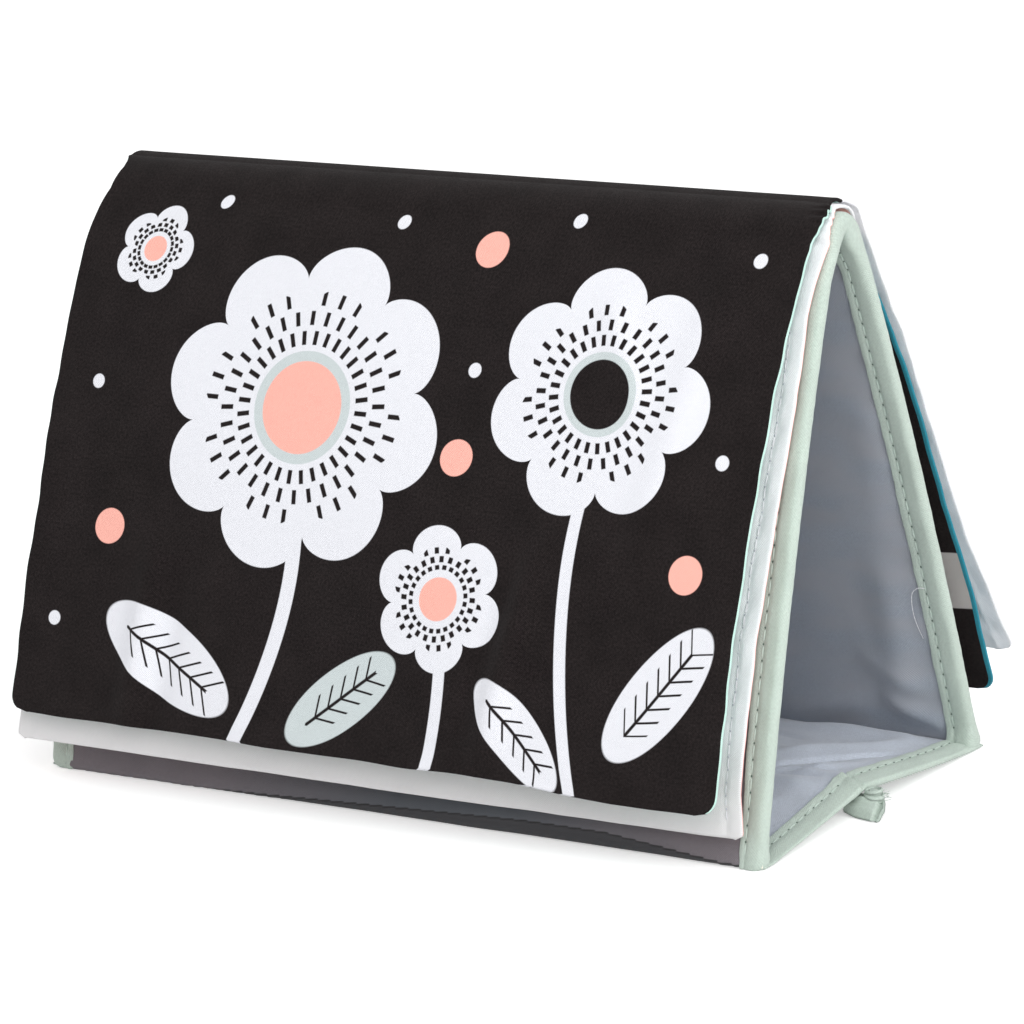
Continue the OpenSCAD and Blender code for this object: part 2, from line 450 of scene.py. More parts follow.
def stitches(name, holes, normals, thread, shade, length=3.7, width=0.5):
    """Threads between needle holes along a seam, each a low arch that dips into the cloth at both ends, with
    a small dark lens at each hole as painted shade.
    """
    parts = []
    share = np.linspace(-1, 1, 8)
    for p, q, n in zip(holes[:-1], holes[1:], normals[:-1]):
        n = unit(n)
        way = unit(q - p)
        lift = STITCH_RISE - STITCH_DIP * np.abs(share) ** 3
        spine = (p + q) / 2 + way * share[:, None] * length / 2 + n * lift[:, None]
        girth = width / 2 * np.sqrt(np.clip(1 - np.abs(share) ** 4, 0.12, 1))
        parts.append((*tube_rings(spine, girth, 7), 0))
        # A small dark lens at each needle hole, in the shade material: painted shade in the hole
        hole = q + way * HOLE_LENGTH * np.linspace(-0.5, 0.5, 5)[:, None] + n * 0.02
        parts.append((*tube_rings(hole, HOLE_RADIUS * np.sqrt([0.1, 0.75, 1, 0.75, 0.1]), 6), 1))
    return join_parts(name, parts, [thread, shade])


# Materials


def linear(colour):
    """A colour from the eye's 0 to 255 steps to the shader's numbers."""
    made = []
    for c in colour:
        c = c / 255
        made.append(c / 12.92 if c <= 0.04045 else ((c + 0.055) / 1.055) ** 2.4)
    return (*made, 1.0)


class Field:
    """A number, way or colour that varies over a surface. Arithmetic on it adds the shader's own nodes."""

    def __init__(self, shader, socket):
        self.shader = shader
        self.socket = socket

    def __add__(self, other):
        return self.shader.math("ADD", self, other)

    def __sub__(self, other):
        return self.shader.math("SUBTRACT", self, other)

    def __rsub__(self, other):
        return self.shader.math("SUBTRACT", other, self)

    def __mul__(self, other):
        return self.shader.math("MULTIPLY", self, other)

    def __truediv__(self, other):
        return self.shader.math("DIVIDE", self, other)

    def __abs__(self):
        return self.shader.math("ABSOLUTE", self)


class Nodes:
    """A node tree, with short calls for the nodes that the cloths share."""

    def __init__(self, tree):
        self.tree = tree

    def node(self, kind, inputs=(), **settings):
        made = self.tree.nodes.new("ShaderNode" + kind)
        for key, value in settings.items():
            setattr(made, key, value)
        for key, value in (inputs.items() if isinstance(inputs, dict) else enumerate(inputs)):
            if isinstance(value, Field):
                self.tree.links.new(value.socket, made.inputs[key])
            else:
                made.inputs[key].default_value = value
        return made

    def field(self, kind, inputs=(), output=0, **settings):
        return Field(self, self.node(kind, inputs, **settings).outputs[output])

    def math(self, operation, *values):
        return self.field("Math", values, operation=operation)

    def ramp(self, value, low, high, to_low=0.0, to_high=1.0):
        return self.field("MapRange", [value, low, high, to_low, to_high], clamp=True)


class Shader(Nodes):
    """A material's nodes, which end in its surface."""

    def __init__(self, name):
        self.material = bpy.data.materials.new(name)
        self.material.use_nodes = True
        super().__init__(self.material.node_tree)
        self.surface = self.tree.nodes["Principled BSDF"]

    def parts(self, vector):
        return [Field(self, socket) for socket in self.node("SeparateXYZ", [vector]).outputs]

    def noise(self, vector, size, detail=2.0):
        return self.field("TexNoise", {"Vector": vector, "Scale": 1 / size, "Detail": detail}, "Fac")

    def cloud(self, vector, size, low, high):
        """Soft spots of a size, from a low value to a high one."""
        return self.ramp(self.noise(vector, size), 0.3, 0.7, low, high)

    def mix(self, share, first, second):
        return self.field("Mix", {0: share, 6: first, 7: second}, 2, data_type="RGBA")

    def darken(self, colour, share):
        """A colour multiplied by a number that varies over the surface."""
        colour = colour if isinstance(colour, Field) else colour[:3]
        return self.field("VectorMath", {0: colour, 3: share}, operation="SCALE")

    def link(self, field, name):
        self.tree.links.new(field.socket, self.surface.inputs[name])

    def put(self, **values):
        """Plain values on the surface's own sockets, named with _ for a space."""
        for name, value in values.items():
            self.surface.inputs[name.replace("_", " ")].default_value = value

    def bump(self, height, distance):
        self.link(self.field("Bump", {"Height": height, "Distance": distance, "Strength": 1.0}), "Normal")


GRAIN = 0.75
CLOUD = 14.0


def weave_height(shader, flat, pitch, twill):
    """Height of the threads: crossed for a plain weave, slanted ribs for a twill."""
    wobble = shader.noise(flat, pitch * 6)
    u, v, _ = shader.parts(flat)
    wobble = wobble * (pitch * 1.2)
    turn = 2 * math.pi / pitch
    if twill:
        rib = shader.math("SINE", (u + v + wobble) * (turn * 0.7))
        return rib + shader.math("SINE", (u - v) * (turn * 1.3)) * 0.35
    return shader.math("SINE", (u + wobble) * turn) * shader.math("SINE", (v + wobble) * turn)


def cloth(name, colour, pitch=0.6, twill=False, roughness=0.8, sheen=0.15, relief=0.05, speckle=0.1,
          mottle=0.05, paint=None, specular=0.4):
    """A woven cloth. paint(shader, map, colour) may return the printed colour instead of the plain one."""
    shader = Shader(name)
    flat = shader.field("UVMap", uv_map="cloth")
    height = weave_height(shader, flat, pitch, twill)
    grain = shader.cloud(flat, GRAIN, 1 - speckle, 1 + speckle)
    cloud = shader.cloud(flat, CLOUD, 1 - mottle, 1 + mottle)
    # Darker where the weave lies low: painted shade in the hollows between threads
    thread = shader.ramp(height, -1.0, 1.0, 1 - speckle, 1 + speckle * 0.4)
    ground = shader.darken(linear(colour), grain * cloud * thread)
    printed = paint(shader, flat, ground) if paint else ground
    # A last slight darkening in the weave's hollows, also painted shade
    shader.link(shader.darken(printed, shader.ramp(height, -1.0, 1.0, 0.97, 1.0)), "Base Color")
    shader.link(shader.cloud(flat, 5.0, roughness - 0.06, roughness + 0.06), "Roughness")
    shader.put(Sheen_Weight=sheen, Specular_IOR_Level=specular)
    shader.bump(height, relief * MM)
    return shader.material


# The print on the front leaf: flowers, stems and dots as plain fields of colour

INK_WHITE = linear((233, 234, 240))
INK_CORAL = linear((252, 184, 170))
INK_GREY = linear((203, 212, 213))
INK_EDGE = 0.3

# Leaves: half width of the midrib and of a vein, and the way from vein to vein
RIB = 0.5
VEIN = 0.45
VEIN_STEP = 2.6

# Flowers: half width of a dash, half its share of a row, and a row's height as a share of the radius
DASH = 0.75
DASH_SHARE = 0.36
ROW_SHARE = 0.12


class Print:
    """Shapes laid over each other on a flat map, each given in millimetres."""

    def __init__(self, shader, flat, ground):
        self.shader = shader
        self.flat = flat
        self.ground = ground
        self.colour = ground

    def local(self, centre, turn=0.0):
        return self.shader.field("Mapping", {
            "Vector": self.flat, "Location": (*centre, 0), "Rotation": (0, 0, math.radians(turn)),
        }, vector_type="TEXTURE")

    def length(self, vector):
        return self.shader.field("VectorMath", [vector], 1, operation="LENGTH")

    def inside(self, distance):
        """1 where a distance is below zero, with a slightly soft edge."""
        return self.shader.ramp(distance, -INK_EDGE / 2, INK_EDGE / 2, 1.0, 0.0)

    def lay(self, mask, colour):
        self.colour = self.shader.mix(mask, self.colour, colour)

    def disc(self, centre, radius, colour):
        self.lay(self.inside(self.length(self.local(centre)) - radius), colour)

    def leaf(self, centre, turn, long, wide, colour):
        """An oval leaf with a midrib and slanted veins in the ground colour."""
        shader = self.shader
        spot = self.local(centre, turn)
        scaled = shader.field("VectorMath", [spot, (1 / long, 1 / wide, 0)], operation="MULTIPLY")
        mask = self.inside((self.length(scaled) - 1.0) * wide)
        self.lay(mask, colour)
        x, y, _ = shader.parts(spot)
        slant = x - abs(y)
        vein = self.inside(shader.math("PINGPONG", slant, VEIN_STEP) - VEIN)
        veins = vein * self.inside(abs(y) - wide * 0.55)
        lines = shader.math("MAXIMUM", self.inside(abs(y) - RIB), veins)
        self.lay(lines * self.inside(abs(slant) - long * 0.66) * mask, self.ground)

    def stem(self, top, bottom, bend, width, colour):
        """A band down the cloth, which bows to one side by bend at its middle."""
        shader = self.shader
        u, v, _ = shader.parts(self.flat)
        t = shader.ramp(v, top[1], bottom[1])
        centre = shader.ramp(t, 0.0, 1.0, top[0], bottom[0]) + t * (1.0 - t) * (4 * bend)
        self.lay(self.inside(abs(u - centre) - width / 2) * self.inside(top[1] - v), colour)

    def flower(self, centre, petals, radius, depth, turn, heart, heart_colour, ring_colour):
        """Round petals about a heart, with a ring of short dashes between them."""
        shader = self.shader
        spot = self.local(centre, turn)
        x, y, _ = shader.parts(spot)
        reach = self.length(spot)
        angle = shader.math("ARCTAN2", y, x)
        petal = shader.math("POWER", abs(shader.math("COSINE", angle * (petals / 2))), 0.6)
        rim = petal * depth + (radius - depth)
        self.lay(self.inside(reach - rim), INK_WHITE)
        dashes = petals * 4
        row_height = radius * ROW_SHARE
        row = reach / row_height
        stagger = shader.math("MODULO", shader.math("FLOOR", row), 2.0) * 0.5
        side = abs(shader.math("FRACT", angle * (dashes / (2 * math.pi)) + stagger) - 0.5)
        along = abs(shader.math("FRACT", row) - 0.5)
        dash = self.inside(side * (reach * (2 * math.pi / dashes)) - DASH)
        dash = dash * self.inside((along - DASH_SHARE) * row_height)
        band = self.inside(heart * 1.35 - reach) * self.inside(reach - (rim - radius * 0.26))
        self.lay(dash * band, self.ground)
        self.disc(centre, heart * 1.22, ring_colour)
        self.disc(centre, heart, heart_colour)


def front_print(shader, flat, ground):
    """The design, with u from the leaf's left edge and v from the ridge down."""
    u, v, _ = shader.parts(flat)
    made = Print(shader, shader.field("CombineXYZ", [u - LEAF_LEFT, FRONT_LEN - v, 0.0]), ground)
    for top, bottom, bend, width in (
        ((94, 100), (78, 190), 9, 5), ((196, 80), (206, 190), -8, 4), ((150, 130), (150, 190), 4, 4),
    ):
        made.stem(top, bottom, bend, width, INK_WHITE)
    for centre, turn, long, wide, colour in (
        ((56, 158), 28, 27, 11, INK_WHITE), ((120, 163), -38, 22, 9, INK_GREY),
        ((228, 148), -52, 24, 10, INK_WHITE), ((182, 166), 42, 20, 8, INK_WHITE),
    ):
        made.leaf(centre, turn, long, wide, colour)
    made.flower((92, 78), 8, 50, 11, 12, 14, INK_CORAL, INK_GREY)
    made.flower((194, 66), 7, 37, 9, 5, 10, ground, INK_GREY)
    made.flower((150, 130), 6, 22, 6, 20, 6.5, INK_CORAL, INK_WHITE)
    made.flower((26, 34), 5, 14, 4, 0, 4, INK_CORAL, INK_WHITE)
    for centre in ((146, 26), (232, 114), (28, 120), (149, 88)):
        made.disc(centre, 5.5, INK_CORAL)
    for centre in ((16, 76), (46, 18), (150, 62), (236, 24), (12, 150), (172, 16), (112, 20), (238, 82)):
        made.disc(centre, 2.2, INK_WHITE)
    return made.colour


def pale_foot(shader, flat, ground):
    """White cloth that turns pale grey near its free edge."""
    _, v, _ = shader.parts(flat)
    return shader.mix(shader.ramp(v, 14.0, 30.0, 1.0, 0.0), ground, linear((224, 222, 223)))


def grey_band(shader, flat, ground):
    """Black cloth with one pale band across it near its free edge."""
    _, v, _ = shader.parts(flat)
    from_edge = inner_line.length - v
    band = shader.ramp(from_edge, 29.0, 29.4) * shader.ramp(from_edge, 49.0, 49.4, 1.0, 0.0)
    return shader.mix(band, ground, linear((190, 186, 184)))


def cover_paint(shader, flat, ground):
    """Grey cloth that turns cooler towards the middle, and charcoal below the seam at the front foot, with
    painted shade along the seam's narrow gap.
    """
    u, v, _ = shader.parts(flat)
    cool = shader.ramp(u, -70, 0) * shader.ramp(u, 40, 100, 1.0, 0.0)
    upper = shader.mix(cool, ground, linear((86, 90, 96)))
    steps = shader.math("FRACT", u / STITCH_PITCH) * SEAM_STEP
    start, flat_from, flat_to, end = SEAM_X
    left = shader.ramp(u, start, flat_from, SEAM_LEFT, SEAM_TOP)
    rise = shader.math("MINIMUM", left, shader.ramp(u, flat_to, end, SEAM_TOP, SEAM_RIGHT))
    over = v - SEAM_FROM - (rise + steps)
    colour = shader.mix(shader.ramp(over, -0.15, 0.15, 1.0, 0.0), upper, linear((64, 64, 67)))
    # A dark line along the seam, where the groove dips in: painted shade in its gap
    return shader.mix(shader.ramp(abs(over), 0.12, 0.38, 0.9, 0.0), colour, linear((40, 38, 40)))


def shimmer(shader, flat, ground):
    """The faint pink and blue bands of fine nylon."""
    u, v, _ = shader.parts(flat)
    stretched = shader.field("CombineXYZ", [u * 0.35, v, 0.0])
    share = shader.ramp(shader.noise(stretched, 9.0, 1.0), 0.35, 0.65)
    return shader.mix(share, ground, linear((160, 163, 171)))


outer_line = over_ridge(leaf_line(LEAF_FRONT, FRONT_LEN), leaf_line(LEAF_LAST, LAST_LEN))
inner_line = over_ridge(leaf_line(LEAF_SECOND, SECOND_LEN), leaf_line(LEAF_THIRD, THIRD_LEN))

# The seam near the front foot: its heights at the left, in the middle and at the right, where along the
# cover these start and end, the step at each stitch, and where the cloth leaves the floor
SEAM_LEFT = -0.5
SEAM_TOP = 4.2
SEAM_RIGHT = 0.6
SEAM_X = (-80, 45, 72, 112)
SEAM_STEP = 0.45
SEAM_FROM = 1.9

BLACK = {
    "colour": (36, 31, 31), "speckle": 0.4, "sheen": 0.03, "specular": 0.06, "relief": 0.06, "mottle": 0.16,
}
WHITE = {"colour": (243, 243, 246), "speckle": 0.03, "roughness": 0.75, "mottle": 0.012}

print_black = cloth("printed_black", paint=front_print, **BLACK)
plain_black = cloth("black_cloth", paint=grey_band, **BLACK)
page_white = cloth("white_cloth", **WHITE)
page_pale = cloth("white_cloth_pale_foot", paint=pale_foot, **WHITE)
page_mint = cloth("mint_page", (190, 224, 214), speckle=0.04)
page_coral = cloth("coral_page", (243, 180, 172), speckle=0.04)
page_teal = cloth("teal_page", (20, 132, 152))
cover_grey = cloth("cover_cloth", (118, 112, 117), speckle=0.08, roughness=0.7, paint=cover_paint)
lining_nylon = cloth("lining_nylon", (156, 163, 174), pitch=0.75, speckle=0.09, roughness=0.4, sheen=0.2,
                     mottle=0.03, paint=shimmer)
base_nylon = cloth("base_nylon", (186, 193, 205), pitch=0.75, speckle=0.07, roughness=0.6, sheen=0.3)
binding_mint = cloth("binding_cloth", (186, 200, 190), pitch=0.8, speckle=0.08, roughness=0.7)
thread_mint = cloth("mint_thread", (216, 232, 222), pitch=0.3, twill=True, speckle=0.05)
thread_white = cloth("white_thread", (236, 236, 240), pitch=0.3, twill=True, speckle=0.03)
# Colours of the dark lenses at the needle holes: painted shade
shade_green = cloth("needle_hole_shade", (88, 110, 98), pitch=0.3)
shade_grey = cloth("needle_hole_shade_white", (196, 198, 206), pitch=0.3)
wadding_white = cloth("wadding", (236, 236, 236), pitch=1.6, speckle=0.08, roughness=0.95)


# How a piece is baked in place, and which parts it hides


def bend(piece, half, height):
    """Bakes the piece's transform. Two places across the part, from one to another, are worked out but not
    used.
    """
    start, end = place([(0, -half, height), (0, half, height)])
    tuple(start)
    tuple(end)
    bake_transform(piece)


def at_ridge(piece):
    bend(piece, RIDGE_R, HINGE_Z)


def at_base(piece):
    bend(piece, FOOT_Y, 0)


def declare(piece, bending, nodes=(), flat=None):
    """Runs bending on the piece and hides the nodes that it replaces; flat, a sheet's size in millimetres,
    is worked out but not kept.
    """
    bending(piece)
    if nodes:
        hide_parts(*nodes)
    if flat:
        flat[0] * MM
        flat[1] * MM


CLOTHS = ("front_cloth", "back_cloth")
LININGS = ("front_lining", "back_lining")
FOAMS = ("front_foam", "back_foam")

# Leaves. Each sheet lies over the ridge: the outer one is the black front leaf and the white last leaf, the
# inner one the white second leaf and the third leaf. The black cloth ends RIDGE_TURN past the ridge, and the
# third leaf's teal starts TEAL_FROM past it.

RIDGE_TURN = 8.0
TEAL_FROM = 20.0
EDGE_T = 1.1
TOPSTITCH_IN = 4.4
TOPSTITCH_PITCH = 3.6
# A leaf is taut at the ridge and loose beyond, between these distances from it
LOOSE = (6, 30)

# Folds in the front leaf, from (u, v) to (u, v), with their width and height
LEAF_FOLDS = (
    ((47, 126), (43, 184), 5, 2.4), ((58, 134), (52, 184), 4, -1.1), ((182, 112), (172, 172), 5, 2.3),
    ((174, 118), (163, 168), 4, -1.1), ((192, 40), (206, 70), 5, 1.0), ((24, 18), (80, 27), 7, 0.9),
    ((228, 24), (214, 110), 6, 1.0),
)


def leaf_ticks(front_length, length):
    """Positions from a front leaf's lower edge to a back leaf's, closer at the edges and the ridge."""
    return ticks(
        (0, 10, 0.7), (10, front_length - 16, 1.9), (front_length - 16, front_length + 16, 0.55),
        (front_length + 16, length - 10, 1.9), (length - 10, length, 0.7),
    )


LEAF_X = ticks(
    (LEAF_LEFT, LEAF_LEFT + 8, 0.7), (LEAF_LEFT + 8, LEAF_RIGHT - 12, 2.1),
    (LEAF_RIGHT - 12, LEAF_RIGHT, 0.55),
)


def side_distance(x):
    return np.minimum(x - LEAF_LEFT, LEAF_RIGHT - x)


def edge_distance(x, s, length):
    """Distance to the nearest free edge of a leaf."""
    return np.minimum(side_distance(x), np.minimum(s, length - s))


def leaf_thickness(length):
    def thickness(x, s):
        return LEAF_T - (LEAF_T - EDGE_T) * hump(edge_distance(x, s, length), 0, 5)
    return thickness


def ridge_tucks(x, v, height):
    """Small tucks where a leaf turns over the ridge at its right end."""
    return height * np.sin(v * 2 * math.pi / 3.1) * hump(LEAF_RIGHT - x, 0, 4) * hump(v, 7, 4.5)


def outer_height(x, s):
    """Soft folds of the front leaf and the last leaf, over the line that they follow."""
    u = x - LEAF_LEFT
    v = FRONT_LEN - s
    front = smooth(v, *LOOSE)
    back = smooth(-v, *LOOSE)
    lift = front * 0.6 * waves(x, s, 3, 45, 120)
    lift += front * folds(u, v, LEAF_FOLDS)
    lift += back * 0.8 * waves(x, s, 5, 40, 110)
    lift += 0.3 * waves(x, s, 8, 12, 24) * hump(edge_distance(x, s, outer_line.length), 0, 5)
    lift += ridge_tucks(x, v, 0.6)
    lift -= 0.4 * hump(v, -RIDGE_TURN, 1.0)
    lift += 1.0 * hump(v, -16, 4) * hump(LEAF_RIGHT - x, 0, 7)
    return lift + back * topstitch_dip(x, s, 21)


def topstitch_dip(x, s, seed):
    """Puckers along the topstitching near a leaf's sides."""
    sides = side_distance(x)
    gathers = 0.36 * waves(x * 0.6, s, seed, 3, 9) * hump(sides, 4.2, 2.8)
    return gathers - 0.25 * hump(sides, TOPSTITCH_IN, 0.9)


def inner_height(x, s):
    u = (LEAF_RIGHT - x) / LEAF_W
    v = SECOND_LEN - s
    lift = smooth(v, *LOOSE) * 0.25 * waves(x, s, 13, 40, 110)
    lift += 7.0 * u ** 1.5 * smooth(v, 30, 185)
    lift += smooth(-v, *LOOSE) * 0.6 * waves(x, s, 15, 40, 110)
    lift += 0.2 * waves(x, s, 18, 9, 20) * hump(edge_distance(x, s, inner_line.length), 0, 5)
    lift += smooth(v, 4, 12) * topstitch_dip(x, s, 23)
    lift += 0.9 * hump(v, 128, 5) * hump(LEAF_RIGHT - x, 3, 4) * smooth(v, 4, 12)
    return lift + ridge_tucks(x, v, 0.5)


def ridge_shift(x, v):
    """The leaves' ends stand further right at the ridge than lower down."""
    u = (x - LEAF_LEFT) / LEAF_W
    return (7.3 * (1 - u) + 4.6 * u) * hump(v, 0, 17)


# Moves of a leaf's sides to the right, as (distance below the ridge, move). Back leaves have minus
# distances.
OUTER_RIGHT = (
    (-184, 0), (-160, -1.2), (-142, -2.4), (-100, -1.3), (-60, 0), (-30, -0.6), (-15, -3.0), (-8, -6.0),
    (-3, -7.0), (1, -6.0), (4, -3.0), (8, -1.2), (16, -0.6), (28, 0), (60, -1.1), (180, -1.6),
)
OUTER_LEFT = (
    (-14, -2), (-5, -4.5), (1, -4.5), (5, -1.5), (8, 0), (16, 1.5), (28, 0.3), (60, 0.2), (105, 1.1),
    (180, 1.0),
)
INNER_RIGHT = (
    (-150, 0.9), (-100, -0.2), (-60, -0.8), (-12, -3.0), (0, -4.5), (6, -1.5), (15, 2.0), (35, 0.3),
    (60, 0.9), (90, -0.6), (127, -2.0), (147, -2.1), (170, -1.5), (181, 0.8),
)


def side_move(v, profile):
    below, move = zip(*profile)
    return np.interp(v, below, move)


def outer_drift(x, s):
    """Moves within the sheet: edges that aren't quite straight, and a lower edge that rises to the left."""
    v = FRONT_LEN - s
    u = (x - LEAF_LEFT) / LEAF_W
    dx = ridge_shift(x, v) + 0.35 * hump(side_distance(x), 0, 6) * ripple(s, 31, 10, 50)
    dx += u ** 3 * side_move(v, OUTER_RIGHT) + (1 - u) ** 3 * side_move(v, OUTER_LEFT)
    dx -= 0.8 * hump(v, 17, 1.6) * hump(LEAF_RIGHT - x, 0, 4)
    ds = 2.5 * (1 - smooth(x, 30, 95)) * smooth(v, 60, FRONT_LEN)
    return dx, ds + 0.3 * ripple(x, 32, 14, 70)


def inner_drift(x, s):
    v = SECOND_LEN - s
    u = (x - LEAF_LEFT) / LEAF_W
    dx = ridge_shift(x, v) + 0.3 * hump(side_distance(x), 0, 6) * ripple(s, 41, 12, 60)
    dx += u ** 3 * side_move(v, INNER_RIGHT) + 2.5 * (1 - u) ** 3 * hump(v, 12, 16)
    return dx, 0.25 * ripple(x, 42, 16, 80)


def outer_pick(ridge, first_back):
    """Faces of the outer sheet: 0 printed black, 1 white, 2 mint."""
    def pick(rows, columns, part, step=0):
        back = rows >= first_back
        if part == "outer":
            return np.where(back, 1, 0)
        if part == "inner":
            return np.where(back, 1, 2)
        edge = np.where(rows == 0, 0 if step < 4 else 1, 0 if step < 1 else 2)
        edge = np.where(rows > ridge, 0, edge)
        return np.where(back, 1, edge)
    return pick


def inner_pick(ridge, first_back):
    """Faces of the inner sheet: 0 white, 1 teal, 2 coral, 3 black with a grey band."""
    right_side = len(LEAF_X) - 2

    def pick(rows, columns, part, step=0):
        back = rows >= first_back
        if part == "outer":
            return np.where(back, 1, 0)
        if part == "inner":
            return np.where(back, np.where(columns >= right_side, 1, 3), 2)
        last_row = rows == rows.max()
        edge = np.where(rows == 0, 0, 0 if step < 2 else 2)
        edge = np.where(rows > ridge, 0, edge)
        return np.where(back, np.where(last_row, 3, 1), edge)
    return pick


def make_leaves(name, node, line, front_length, height, drift, pick, turn, materials, corners):
    ss = leaf_ticks(front_length, line.length)
    outer, inner, uv = sheet_grid(line, LEAF_X, ss, height, leaf_thickness(line.length), corners, drift)
    ridge = int(np.searchsorted(ss, front_length - 3))
    first_back = int(np.searchsorted(ss, front_length + turn))
    piece = two_ply(name, outer, inner, uv, materials, pick(ridge, first_back), rim_bulge=0.7)
    declare(piece, at_ridge, [node], (LEAF_W, line.length))


def make_topstitch(name, line, height, drift, start, end, seed):
    """A wavy line of white stitches along the right side of a leaf."""
    holes = np.arange(start, end, TOPSTITCH_PITCH)
    x = LEAF_RIGHT - TOPSTITCH_IN + 0.5 * ripple(holes, seed, 9, 40)
    dx, ds = drift(x, holes)
    lift = height(x, holes)
    y, z = line.at(holes + ds, lift)
    y_out, z_out = line.at(holes + ds, lift + 1)
    points = np.stack([x + dx, y, z], 1)
    normals = np.stack([0 * y, y_out - y, z_out - z], 1)
    piece = stitches(name, points, normals, thread_white, shade_grey, length=2.9, width=0.4)
    declare(piece, at_ridge)


make_leaves("outer_leaves", "front_pages", outer_line, FRONT_LEN, outer_height, outer_drift, outer_pick,
            RIDGE_TURN, [print_black, page_white, page_mint], (LEAF_CORNER_R, LEAF_CORNER_R - 1.5))
make_leaves("inner_leaves", "back_pages", inner_line, SECOND_LEN, inner_height, inner_drift, inner_pick,
            TEAL_FROM, [page_pale, page_teal, page_coral, plain_black], (1.4, LEAF_CORNER_R))
make_topstitch("topstitch_second", inner_line, inner_height, inner_drift, 4, SECOND_LEN - 12, 81)
make_topstitch("topstitch_last", outer_line, outer_height, outer_drift, FRONT_LEN + 14,
               outer_line.length - 4, 85)


# Covers: the outer cloth turns under at the feet, and the lining faces the tunnel

FOOT_ROUND = 1.2
UNDER_FOOT = CLOTH_T + FOAM_T


def foot_turn(steps=8):
    """Points from the outer face at the foot round to the underside, on the back side."""
    points = []
    for i in range(steps + 1):
        angle = -math.pi / 2 * i / steps
        points.append([FOOT_Y - FOOT_ROUND * (1 - math.cos(angle)), FOOT_ROUND * (1 + math.sin(angle))])
    points.append([FOOT_Y - UNDER_FOOT, 0])
    return np.array(points)


def cover_line():
    side = panel_line()
    side = side[side[:, 1] > FOOT_ROUND + 1.5]
    side = np.vstack([side, foot_turn()])
    return over_ridge(side, side)


PINCH_SHARE = 0.04


def pinched(points):
    """The bindings draw the ridge's ends together."""
    draw = 1 - PINCH_SHARE * hump(RIDGE_H - points[:, 1], 4, 9)
    return points * np.stack([draw, np.ones_like(draw)], 1)


outer_cover = cover_line()
cover_face = over_ridge(panel_line(), panel_line())
binding_line = over_ridge(pinched(panel_line()), pinched(panel_line()))

# The panels meet in a narrow crease on the tunnel's side, this far down from the ridge
PINCH = 22.0
CREASE_TOP = HINGE_Z + 3.5


class Tunnel:
    """The covers' faces on the tunnel's side. offset is measured from the outer face, and is below zero."""

    length = cover_face.length

    @staticmethod
    def at(s, offset=0.0):
        away = s - cover_face.length / 2
        reach = np.maximum(np.abs(away), PINCH)
        y, z = cover_face.at(cover_face.length / 2 + np.sign(away) * reach, offset)
        share = np.minimum(np.abs(away) / PINCH, 1)
        crease = CREASE_TOP + 2.5 * (offset + PANEL_T + BINDING_T)
        return y * share, z * share + crease * (1 - share)


def end_distance(x):
    """Distance in from the nearer end of the covers."""
    return np.minimum(x - END_X[-1], END_X[1] - x)


def seam_height(x):
    """Height above the floor of the seam near the front foot, which steps at each stitch."""
    rise = np.interp(x, SEAM_X, [SEAM_LEFT, SEAM_TOP, SEAM_TOP, SEAM_RIGHT])
    return rise + SEAM_STEP * ((x / STITCH_PITCH) % 1)


def cover_height(x, s):
    """The cover's outer cloth, with a jagged seam near the front foot and the cloth turned in below it."""
    z = outer_cover.at(s)[1]
    front = s < outer_cover.length / 2
    over_seam = z - seam_height(x)
    turned_in = -0.35 * (1 - smooth(over_seam, -1.2, 0)) * front
    groove = -0.25 * hump(over_seam, 0, 0.3) * front
    puff = 0.3 * hump(over_seam, 2.2, 2.5) * front
    tucked = -0.45 * (1 - smooth(end_distance(x), BINDING_W - 1.4, BINDING_W - 0.6))
    return 0.2 + 0.1 * waves(x, s, 51, 18, 60) + turned_in + groove + puff + tucked


def flat_thickness(amount):
    return lambda x, s: np.full_like(x, amount)


def make_cover_cloth():
    length = outer_cover.length
    xs = ticks((SHEET_LEFT, SHEET_RIGHT, 0.95))
    ss = ticks((0, 14, 0.4), (14, length - 14, 3.2), (length - 14, length, 0.7))
    grids = sheet_grid(outer_cover, xs, ss, cover_height, flat_thickness(CLOTH_T - 0.1))
    piece = two_ply("cover_cloth", *grids, [cover_grey])
    declare(piece, at_ridge, CLOTHS, (SHEET_W, length))


LINING_SKIN = 0.3
LINING_FOLDS = (
    ((104, 12), (106, 62), 6.5, 1.8), ((117, 7), (98, 17), 3.0, 1.5), ((112, 20), (92, 30), 3.6, 0.9),
    ((108, 70), (112, 120), 6.0, 0.8), ((60, 6), (90, 14), 4.5, 1.0),
)


def lining_height(x, s):
    """Nylon that is drawn in at the bindings and slack between them, on the tunnel's side."""
    from_end = end_distance(x)
    from_foot = np.minimum(s, Tunnel.length - s)
    slack = smooth(from_end, 8, 26) * smooth(from_foot, 0, 14)
    pull = 0.3 * np.sin(s * 2 * math.pi / 15 + 1.6 * waves(x, s, 61, 30, 60)) * hump(from_end, 10, 8)
    bulge = slack * (0.7 + 0.5 * waves(x, s, 63, 25, 80)) + pull
    back = s > Tunnel.length / 2
    inner_x = END_X[1] - np.abs(END_X[1] - x)
    bulge += back * folds(inner_x, from_foot, LINING_FOLDS) * smooth(from_end, 7, 12)
    tucked = 0.4 * (1 - smooth(from_end, BINDING_W - 1.4, BINDING_W - 0.4))
    return -PANEL_T - bulge + tucked + LINING_SKIN


